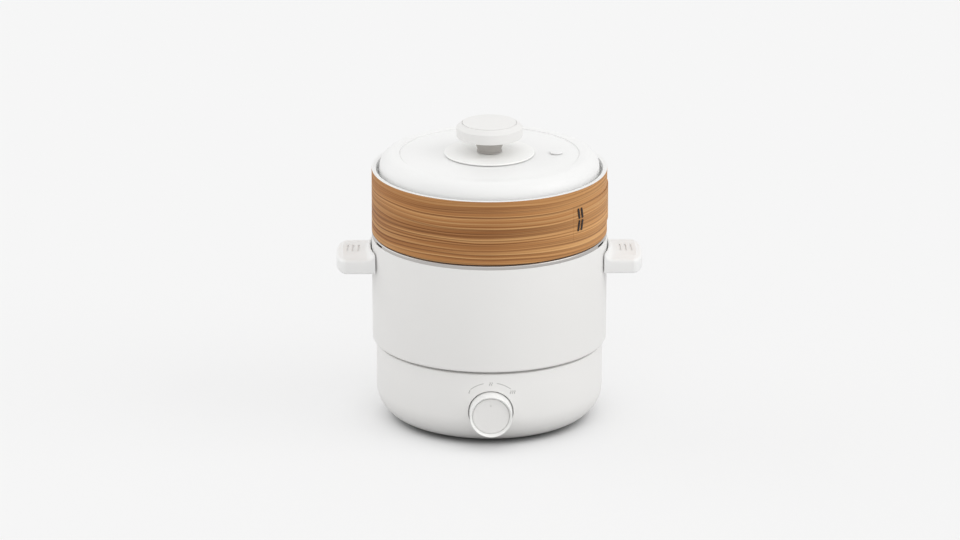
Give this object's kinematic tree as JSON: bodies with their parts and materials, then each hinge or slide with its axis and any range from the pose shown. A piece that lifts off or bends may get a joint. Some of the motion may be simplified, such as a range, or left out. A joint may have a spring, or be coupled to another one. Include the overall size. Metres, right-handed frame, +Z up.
{
  "type": "electric steamer pot",
  "caption": "Electric steamer pot: heating base with a front dial, lift-off pot with two side handles, bamboo-clad steamer tier, perforated tray and a domed lid with a round knob.",
  "frame": {"origin": "on the axis of the pot at the surface it stands on, which is the bottom centre of its bounding box", "axes": "+Z up along the axis of the pot, -Y to the front with the dial, +X to the viewer's right with one handle"},
  "size_m": [0.2602, 0.2141, 0.2599],
  "materials": {
    "white_shell": "satin white moulding",
    "white_lid": "soft gloss white moulding",
    "black_plastic": "matt black heat-proof moulding",
    "rubber": "matt",
    "steel": "brushed",
    "cast_aluminium": "as cast, turned on top",
    "brass": "drawn",
    "bamboo": "brown bamboo with a low sheen and fine streaks along the hoop",
    "dark_cane": "dark stained cane",
    "wire_red": "insulation",
    "wire_blue": "insulation",
    "wire_green": "insulation"
  },
  "bodies": {
    "base": {"base_housing": "white_shell", "bottom_cover": "white_shell", "foot_1": "rubber", "foot_2": "rubber", "foot_3": "rubber", "foot_4": "rubber", "bottom_screw_1": "steel", "bottom_screw_2": "steel", "bottom_screw_3": "steel", "bottom_screw_4": "steel", "heating_plate": "cast_aluminium", "plate_seat_ring": "black_plastic", "heating_element": "steel", "thermal_cutout": "black_plastic", "sensor_bracket": "steel", "rotary_switch": "black_plastic", "switch_nut": "brass", "power_inlet": "black_plastic", "power_pin_line": "brass", "power_pin_neutral": "brass", "power_pin_earth": "brass", "wire_inlet_switch": "wire_red", "wire_switch_cutout": "wire_red", "wire_cutout_element": "wire_red", "wire_element_inlet": "wire_blue", "wire_earth": "wire_green"},
    "sensor": {"sensor_cup": "cast_aluminium", "sensor_spring": "steel"},
    "dial": {"dial_knob": "white_shell", "dial_cap": "white_shell", "dial_shaft": "steel"},
    "pot": {"pot_shell": "white_shell", "inner_pot": "steel", "pot_base_ring": "black_plastic", "handle_left": "white_shell", "handle_right": "white_shell", "handle_screw_left_1": "steel", "handle_screw_left_2": "steel", "handle_screw_right_1": "steel", "handle_screw_right_2": "steel"},
    "steamer": {"steamer_liner": "white_shell", "bamboo_band": "bamboo", "bamboo_tongue": "bamboo", "stitch_1": "dark_cane", "stitch_2": "dark_cane", "stitch_3": "dark_cane", "stitch_4": "dark_cane"},
    "tray": {"steam_tray": "steel"},
    "lid": {"lid_shell": "white_lid", "lid_plate": "white_lid", "knob_stem": "white_lid", "knob_cap": "white_lid", "knob_inlay": "white_lid", "knob_screw": "steel", "knob_washer": "steel", "steam_vent": "white_lid"}
  },
  "joints": [
    {"name": "dial_turn", "type": "hinge", "parent": "base", "child": "dial", "pos_m": [0, -0.0901, 0.0329], "axis": [0, -1, 0], "range_deg": [-45, 45]},
    {"name": "sensor_press", "type": "slide", "parent": "base", "child": "sensor", "axis": [0, 0, 1], "range_m": [-0.003, 0], "stiffness_N_per_m": 200, "springref_m": 0.005, "deforming": ["sensor_spring"]},
    {"name": "pot_lift", "type": "slide", "parent": "base", "child": "pot", "axis": [0, 0, 1], "range_m": [0, 0.15]},
    {"name": "steamer_lift", "type": "slide", "parent": "pot", "child": "steamer", "axis": [0, 0, 1], "range_m": [0, 0.12]},
    {"name": "tray_lift", "type": "slide", "parent": "steamer", "child": "tray", "axis": [0, 0, 1], "range_m": [0, 0.035]},
    {"name": "lid_lift", "type": "slide", "parent": "steamer", "child": "lid", "axis": [0, 0, 1], "range_m": [0, 0.12]}
  ]
}
